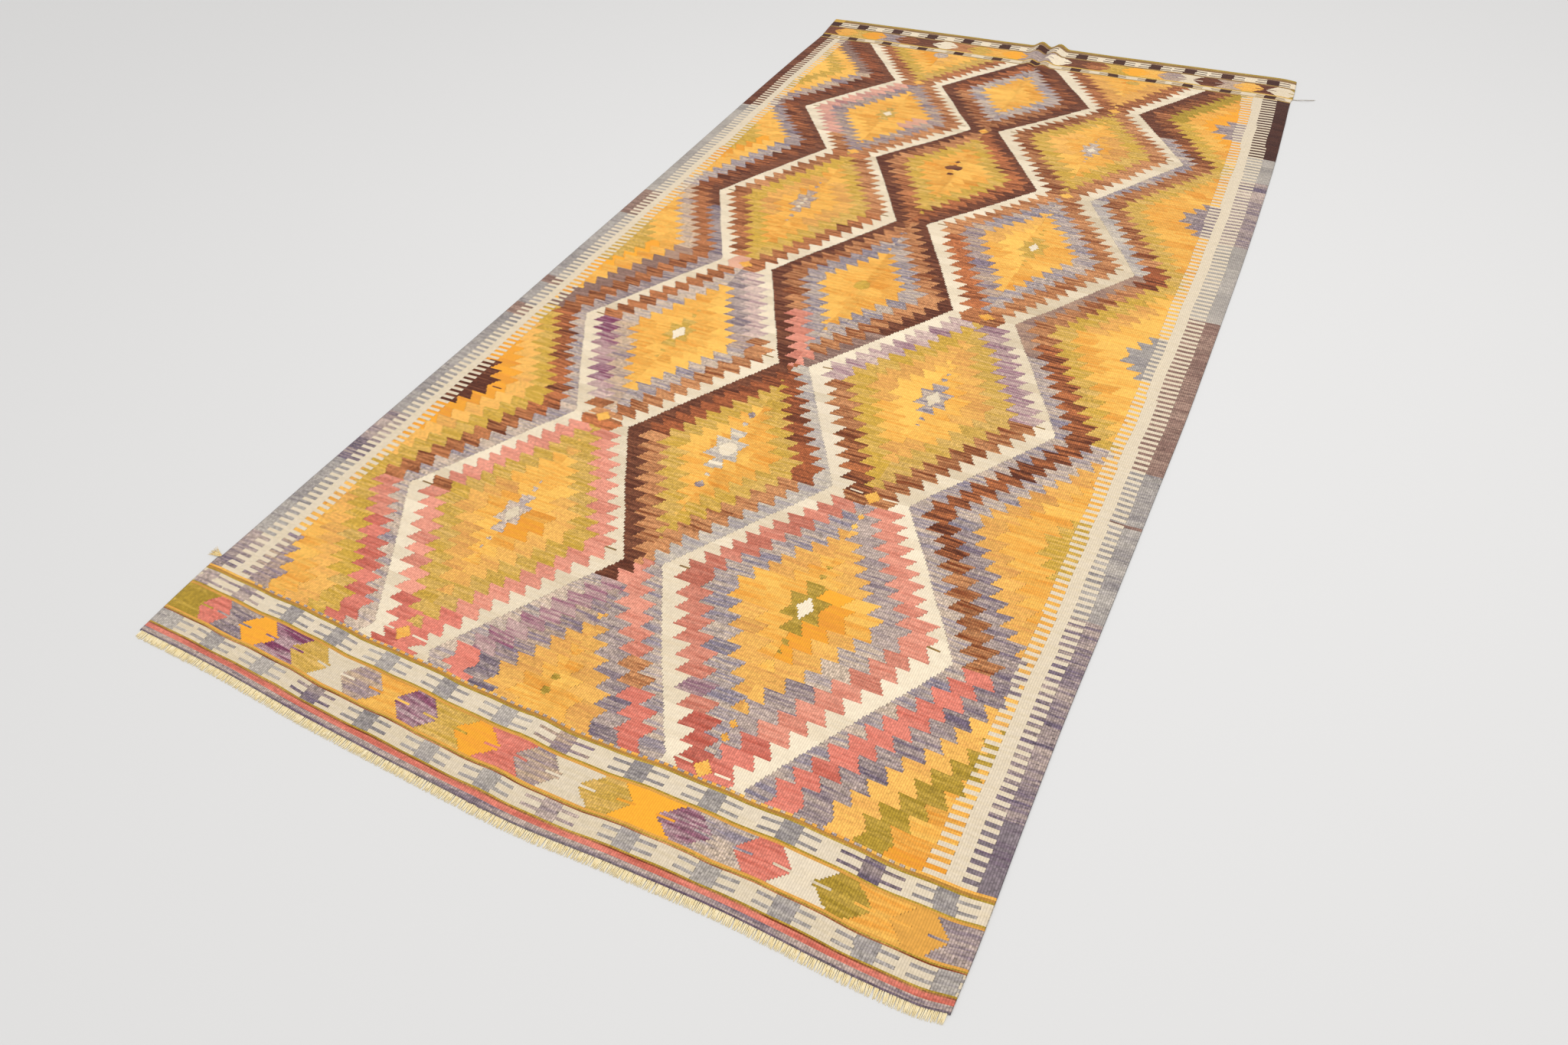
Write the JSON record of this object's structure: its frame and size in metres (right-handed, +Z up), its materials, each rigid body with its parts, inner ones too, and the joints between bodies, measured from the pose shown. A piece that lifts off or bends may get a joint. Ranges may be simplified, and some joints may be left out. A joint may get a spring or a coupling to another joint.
{
  "type": "kilim rug",
  "caption": "Flat-woven wool rug with a field of serrated lozenges, comb side borders, patterned end borders and a short warp fringe, lying flat.",
  "frame": {"origin": "middle of the whole rug's box on the floor it lies on, so z = 0 is its underside", "axes": "+X across the rug to its right, +Y along the rug from the fringed near end to the far end, +Z up"},
  "size_m": [1.7696, 3.2748, 0.0187],
  "materials": {
    "woven_wool": "slit-tapestry weave of hand-spun wool, matt, in gold, olive, rust, pink, grey, brown and cream",
    "warp_ends": "cut cream-yellow warp yarn, matt",
    "gold_yarn": "loose gold weft yarn, matt",
    "pale_yarn": "loose pale wool yarn, matt"
  },
  "bodies": {
    "root": {"kilim_body": "woven_wool", "near_fringe": "warp_ends", "near_left_tuft": "gold_yarn", "far_right_yarn": "pale_yarn"}
  },
  "joints": []
}
